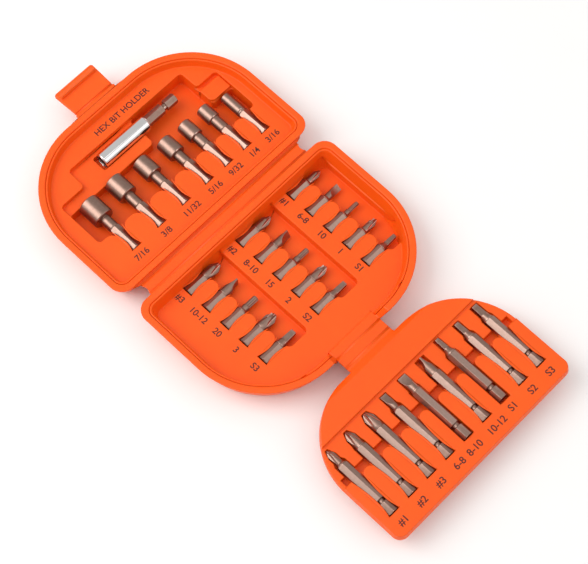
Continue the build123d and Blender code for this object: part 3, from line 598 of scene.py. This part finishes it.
@dataclass
class FlapPanel(Moulding):
    """The folding flap, with nine long power bits."""

    body: str = "flap"
    face_z: float = 17.5 * MM
    tip_zone_z: float = 15.5 * MM
    slot_length: float = 28.6 * MM
    tail_gap: float = 0.5 * MM
    label_gap: float = 7.3 * MM
    cap_height: float = 4.1 * MM
    # bit: the words, and how far they stray toward -Y
    bits: dict[str, tuple[str, float]] = field(default_factory=lambda: {
        "cross_1": ("#1", 0.0), "cross_2": ("#2", 0.0), "cross_3": ("#3", 0.0), "slotted_6_8": ("6-8", 0.0),
        "slotted_8_10": ("8-10", 2.6 * MM), "slotted_10_12": ("10-12", -0.6 * MM), "square_1": ("S1", 0.0),
        "square_2": ("S2", 0.0), "square_3": ("S3", 0.0)})
    flat_up: tuple[str, ...] = ("slotted_8_10", "square_1")   # too wide for lips, they lie in open slots
    pitch: float = 15.13 * MM
    ejector_from_hinge: float = 148.5 * MM      # the ejector pins' marks, from the lid's hinge
    ejector_after: tuple[str, ...] = ("cross_2", "square_1")

    def build(self) -> None:
        """Build the panel, its lips, the ejector marks and its labels."""
        self.round_off("flap_panel", self.tray_radius)
        grips = []
        labels = []
        for bit, (words, stray) in self.bits.items():
            low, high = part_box(f"power_bit_{bit}")
            y = (low.y + high.y) / 2
            if bit not in self.flat_up:
                grips.append(SnapLip(Vector((high.x + self.tail_gap, y, self.face_z)), Vector((-1, 0, 0)),
                                     self.slot_length, end_half=3.95 * MM, wall_half=3.5 * MM,
                                     reach_half=2.3 * MM, tail_flare=9.0 * MM, mouth_flare=15.0 * MM))
            labels.append(Label(words, Vector((high.x + self.label_gap, y - stray, self.face_z)),
                                self.cap_height, 90))
        self.lips("flap_snap_lips", grips)
        marks = bmesh.new()
        for bit in self.ejector_after:
            x = middle("lid_hinge_spine").x + self.ejector_from_hinge
            y = middle(f"power_bit_{bit}").y + self.pitch / 2
            EjectorMark(Vector((x, y, self.tip_zone_z))).add_to(marks)
        rings = link_mesh("flap_ejector_marks", marks)
        self.workshop.mount(rings, self.body, POLYPROPYLENE, Slot.POLYPROPYLENE)
        print_labels(self.workshop, "flap_size_labels", self.body, labels)


@dataclass
class Hinges:
    """The strips between the panels, the latch tab, and the thin films that they fold on."""

    workshop: Workshop
    # film: its two bodies, from low X to high X
    films: dict[str, tuple[str, str]] = field(default_factory=lambda: {
        "hinge_film_lid": ("lid", "lid_spine"), "hinge_film_base": ("lid_spine", "base"),
        "hinge_film_neck": ("base", "neck"), "hinge_film_flap": ("neck", "flap"),
        "hinge_film_latch": ("latch", "lid")})
    # strip: its body and edge radius
    strips: dict[str, tuple[str, float]] = field(default_factory=lambda: {
        "lid_hinge_spine": ("lid_spine", 0.35 * MM), "neck_spine": ("neck", 0.35 * MM),
        "latch_tab": ("latch", 0.6 * MM)})
    segments: int = 12
    lap: float = 0.25 * MM          # how far a film runs under the strip on each side
    web_half: float = 0.17 * MM     # half a film's thickness at its fold line
    swell: float = 0.28 * MM        # and what it gains toward its edges

    def build(self) -> None:
        """Build every strip and film."""
        for node, (body, radius) in self.strips.items():
            piece = RoundedCopy(node, radius).build(f"{node}_moulding")
            self.workshop.mount(piece, body, POLYPROPYLENE, Slot.POLYPROPYLENE, (node,))
        for node, (low_body, high_body) in self.films.items():
            self.film(node)

    def film(self, node: str) -> None:
        """Make one film: a strip that thins to a web at its fold line.

        Args:
            node: The CAD film that it stands for.
        """
        low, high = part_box(node)
        centre = (low + high) / 2
        half = (high.x - low.x) / 2 + self.lap
        outlines = []
        for i in range(self.segments + 1):
            share = 2 * i / self.segments - 1
            thick = self.web_half + self.swell * share ** 2
            x = centre.x + half * share
            outlines.append([Vector((x, y, centre.z + z)) for y, z in (
                (low.y, thick), (high.y, thick), (high.y, -thick), (low.y, -thick))])
        shape = bmesh.new()
        skin_rings(shape, outlines)
        piece = link_mesh(f"{node}_web", shape)
        piece.data.materials.append(self.workshop.material(POLYPROPYLENE))
        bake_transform(piece)
        self.workshop.enter(piece, Slot.POLYPROPYLENE, (node,))


# ---------------------------------------------------------------- the tools
@dataclass
class Tools:
    """The loose steel tools, each on its own body, and the holder's four parts."""

    workshop: Workshop
    edge_radius: float = 0.13 * MM
    segments: int = 2
    crease_degrees: float = 24.0
    # holder part: its finish, slot and edge radius
    holder: dict[str, tuple[Finish, Slot, float]] = field(default_factory=lambda: {
        "holder_sleeve": (CHROME, Slot.CHROME, 0.2 * MM),
        "holder_shank": (TOOL_STEEL, Slot.TOOL_STEEL, 0.13 * MM),
        "holder_magnet": (FERRITE, Slot.MAGNET, 0.05 * MM),
        "holder_retaining_ring": (SPRING_WIRE, Slot.SPRING_STEEL, 0.1 * MM)})

    def build(self) -> None:
        """Round off and dress every tool that has its own body, then the holder's parts."""
        for node in sorted(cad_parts):
            if node.startswith(("insert_bit_", "power_bit_", "nut_setter_")):
                rounded = RoundedCopy(node, self.edge_radius, self.segments, self.crease_degrees)
                piece = rounded.build(f"{node}_steel")
                self.workshop.mount(piece, node, TOOL_STEEL, Slot.TOOL_STEEL, (node,))
        for node, (finish, slot, radius) in self.holder.items():
            piece = RoundedCopy(node, radius, self.segments, self.crease_degrees).build(f"{node}_finished")
            self.workshop.mount(piece, "bit_holder", finish, slot, (node,))


# ---------------------------------------------------------------- the studio
@dataclass
class Studio:
    """White paper, soft light from the left, and the camera."""

    azimuth: float = 44.23
    elevation: float = 66.5
    aim: Vector = field(default_factory=lambda: Vector((1.1, -2.4, 20.0)) * MM)
    distance: float = 1.119
    lens: float = 120.0
    floor_half: float = 3.0
    floor_gap: float = 0.1 * MM
    room_light: float = 0.62
    near_clip: float = 0.1
    far_clip: float = 20.0
    # softbox: azimuth and elevation in degrees, distance and size in metres, power in watts
    softboxes: dict[str, tuple[float, float, float, float, float]] = field(default_factory=lambda: {
        "key_softbox": (316.0, 48.0, 1.3, 0.9, 8.5), "fill_softbox": (130.0, 40.0, 1.6, 1.2, 3.0),
        "top_softbox": (20.0, 80.0, 1.8, 1.4, 5.0)})

    def direction(self, azimuth: float, elevation: float) -> Vector:
        """The way from the object to a viewer or lamp at these angles."""
        a = math.radians(azimuth)
        e = math.radians(elevation)
        return Vector((math.sin(a) * math.cos(e), -math.cos(a) * math.cos(e), math.sin(e)))

    def build(self, workshop: Workshop) -> None:
        """Lay the paper, hang the lamps and set up the camera."""
        self.paper(workshop)
        for name, softbox in self.softboxes.items():
            self.lamp(name, *softbox)
        world = bpy.data.worlds.new("white_room")
        world.use_nodes = True
        room = world.node_tree.nodes["Background"]
        room.inputs["Color"].default_value = linear("#FFFFFF")
        room.inputs["Strength"].default_value = self.room_light
        bpy.context.scene.world = world
        bpy.context.scene.view_settings.view_transform = "Standard"
        self.camera()

    def paper(self, workshop: Workshop) -> None:
        """Lay a wide sheet of paper under the case."""
        shape = bmesh.new()
        bmesh.ops.create_grid(shape, x_segments=40, y_segments=40, size=self.floor_half)
        for vert in shape.verts:
            vert.co.z = cad_low.z - self.floor_gap
        floor = link_mesh("paper_floor", shape)
        floor.data.materials.append(workshop.material(PAPER))

    def lamp(self, name: str, azimuth: float, elevation: float, distance: float, size: float,
             power: float) -> None:
        """Hang one square softbox that faces the case."""
        light = bpy.data.lights.new(name, "AREA")
        light.shape = "SQUARE"
        light.size = size
        light.energy = power
        lamp = bpy.data.objects.new(name, light)
        toward = self.direction(azimuth, elevation)
        lamp.location = self.aim + toward * distance
        lamp.rotation_mode = "QUATERNION"
        lamp.rotation_quaternion = (-toward).to_track_quat("-Z", "Y")
        bpy.context.scene.collection.objects.link(lamp)

    def camera(self) -> None:
        """Set up the camera, with a long lens."""
        data = bpy.data.cameras.new("camera")
        data.lens = self.lens
        data.clip_start = self.near_clip
        data.clip_end = self.far_clip
        camera = bpy.data.objects.new("camera", data)
        toward = self.direction(self.azimuth, self.elevation)
        camera.location = self.aim + toward * self.distance
        camera.rotation_mode = "QUATERNION"
        camera.rotation_quaternion = (-toward).to_track_quat("-Z", "Y")
        bpy.context.scene.collection.objects.link(camera)
        bpy.context.scene.camera = camera


def main() -> None:
    """Build the case, the tools and the studio, and report how many pieces were made."""
    logging.basicConfig(level=logging.INFO, format="%(name)s %(message)s")
    workshop = Workshop()
    Studio().build(workshop)
    BasePanel(workshop).build()
    LidPanel(workshop).build()
    FlapPanel(workshop).build()
    Hinges(workshop).build()
    Tools(workshop).build()
    log.info("%d pieces", workshop.pieces)


if __name__ == "__main__":
    main()
